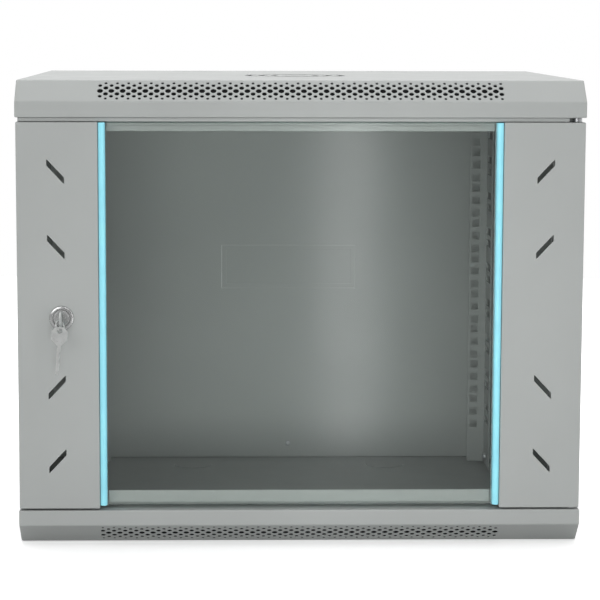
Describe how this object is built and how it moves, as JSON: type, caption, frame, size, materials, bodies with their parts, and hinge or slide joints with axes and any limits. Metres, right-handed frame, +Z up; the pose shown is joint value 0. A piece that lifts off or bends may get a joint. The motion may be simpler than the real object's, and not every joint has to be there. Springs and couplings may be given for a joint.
{
  "type": "network server rack cabinet",
  "caption": "Wall-mount 19-inch rack cabinet with a hinged glass door, vented bevelled covers, tilting side panels, sliding square-hole rails and a keyed lock",
  "frame": {"origin": "centre of the underside of the bottom cover", "axes": "+X to the right as seen from the front, +Y to the rear (wall) side, +Z up"},
  "size_m": [0.6058, 0.4775, 0.4964],
  "materials": {
    "paint": "satin light-grey powder coat",
    "zinc": "zinc-plated steel",
    "key_steel": "nickel-plated key steel",
    "chrome": "polished",
    "glass": "clear tempered glass, faint grey tint",
    "blue_strip": "light-blue extruded plastic",
    "fan_plastic": "black moulded plastic"
  },
  "bodies": {
    "cabinet": {"top_cover": "paint", "bottom_cover": "paint", "rear_panel": "paint", "rear_knockout": "paint", "roof_knockout_left": "paint", "roof_knockout_right": "paint", "floor_knockout_left": "paint", "floor_knockout_right": "paint", "front_beam_top": "paint", "front_beam_bottom": "paint", "front_post_left": "paint", "front_post_right": "paint", "depth_bracket_top_left": "paint", "depth_bracket_top_right": "paint", "depth_bracket_bottom_left": "paint", "depth_bracket_bottom_right": "paint", "hinge_pin_bottom": "zinc", "hinge_washer_bottom": "zinc", "fan_frame": "fan_plastic", "earth_stud": "zinc"},
    "door": {"door_stile_left": "paint", "door_stile_right": "paint", "door_bar_top": "paint", "door_bar_bottom": "paint", "door_glass": "glass", "blue_strip_left": "blue_strip", "blue_strip_right": "blue_strip", "lock_housing": "chrome", "lock_nut": "zinc", "hinge_bracket": "zinc", "hinge_washer_top": "zinc"},
    "hinge_pin": {"hinge_pin_top": "zinc", "hinge_spring": "zinc"},
    "door_lock": {"lock_plug": "chrome", "lock_cam": "zinc", "lock_cam_screw": "zinc"},
    "key_in_lock": {"key": "key_steel"},
    "spare_key_ring": {"key_ring": "key_steel", "spare_key": "key_steel"},
    "side_left": {"side_panel_left": "paint", "side_lock_body_left": "chrome"},
    "side_right": {"side_panel_right": "paint", "side_lock_body_right": "chrome"},
    "side_lock_left": {"side_lock_plug_left": "chrome", "side_lock_cam_left": "zinc"},
    "side_lock_right": {"side_lock_plug_right": "chrome", "side_lock_cam_right": "zinc"},
    "rail_front_left": {"rail_front_left": "paint", "rail_bolt_front_left_bottom": "zinc", "rail_bolt_front_left_top": "zinc"},
    "rail_front_right": {"rail_front_right": "paint", "rail_bolt_front_right_bottom": "zinc", "rail_bolt_front_right_top": "zinc"},
    "rail_rear_left": {"rail_rear_left": "paint", "rail_bolt_rear_left_bottom": "zinc", "rail_bolt_rear_left_top": "zinc"},
    "rail_rear_right": {"rail_rear_right": "paint", "rail_bolt_rear_right_bottom": "zinc", "rail_bolt_rear_right_top": "zinc"},
    "fan_rotor": {"fan_rotor": "fan_plastic"}
  },
  "joints": [
    {"name": "door_hinge", "type": "hinge", "parent": "cabinet", "child": "door", "pos_m": [0.2915, -0.216, 0.2468], "axis": [0, 0, 1], "range_deg": [0, 180]},
    {"name": "hinge_pin_release", "type": "slide", "parent": "door", "child": "hinge_pin", "axis": [0, 0, -1], "range_m": [0, 0.01], "stiffness_N_per_m": 200, "springref_m": -0.008, "deforming": ["hinge_spring"]},
    {"name": "door_lock_turn", "type": "hinge", "parent": "door", "child": "door_lock", "pos_m": [-0.2525, -0.225, 0.2463], "axis": [0, 1, 0], "range_deg": [0, 90]},
    {"name": "key_pull", "type": "slide", "parent": "door_lock", "child": "key_in_lock", "axis": [0, -1, 0], "range_m": [0, 0.032]},
    {"name": "spare_key_swing", "type": "hinge", "parent": "key_in_lock", "child": "spare_key_ring", "pos_m": [-0.2525, -0.2448, 0.2463], "axis": [1, 0, 0], "range_deg": [-70, 15]},
    {"name": "side_left_tilt", "type": "hinge", "parent": "cabinet", "child": "side_left", "pos_m": [-0.2997, 0.0145, 0.0396], "axis": [0, -1, 0], "range_deg": [0, 20]},
    {"name": "side_lock_left_turn", "type": "hinge", "parent": "side_left", "child": "side_lock_left", "pos_m": [-0.2997, 0, 0.4355], "axis": [1, 0, 0], "range_deg": [0, 90]},
    {"name": "side_right_tilt", "type": "hinge", "parent": "cabinet", "child": "side_right", "pos_m": [0.2997, 0.0145, 0.0396], "axis": [0, 1, 0], "range_deg": [0, 20]},
    {"name": "side_lock_right_turn", "type": "hinge", "parent": "side_right", "child": "side_lock_right", "pos_m": [0.2997, 0, 0.4355], "axis": [1, 0, 0], "range_deg": [0, 90]},
    {"name": "rail_front_left_slide", "type": "slide", "parent": "cabinet", "child": "rail_front_left", "axis": [0, 1, 0], "range_m": [-0.03, 0.08]},
    {"name": "rail_front_right_slide", "type": "slide", "parent": "cabinet", "child": "rail_front_right", "axis": [0, 1, 0], "range_m": [-0.03, 0.08]},
    {"name": "rail_rear_left_slide", "type": "slide", "parent": "cabinet", "child": "rail_rear_left", "axis": [0, 1, 0], "range_m": [-0.1, 0.03]},
    {"name": "rail_rear_right_slide", "type": "slide", "parent": "cabinet", "child": "rail_rear_right", "axis": [0, 1, 0], "range_m": [-0.1, 0.03]},
    {"name": "fan_spin", "type": "hinge", "parent": "cabinet", "child": "fan_rotor", "pos_m": [0, -0.01, 0.4826], "axis": [0, 0, 1], "continuous": true}
  ]
}
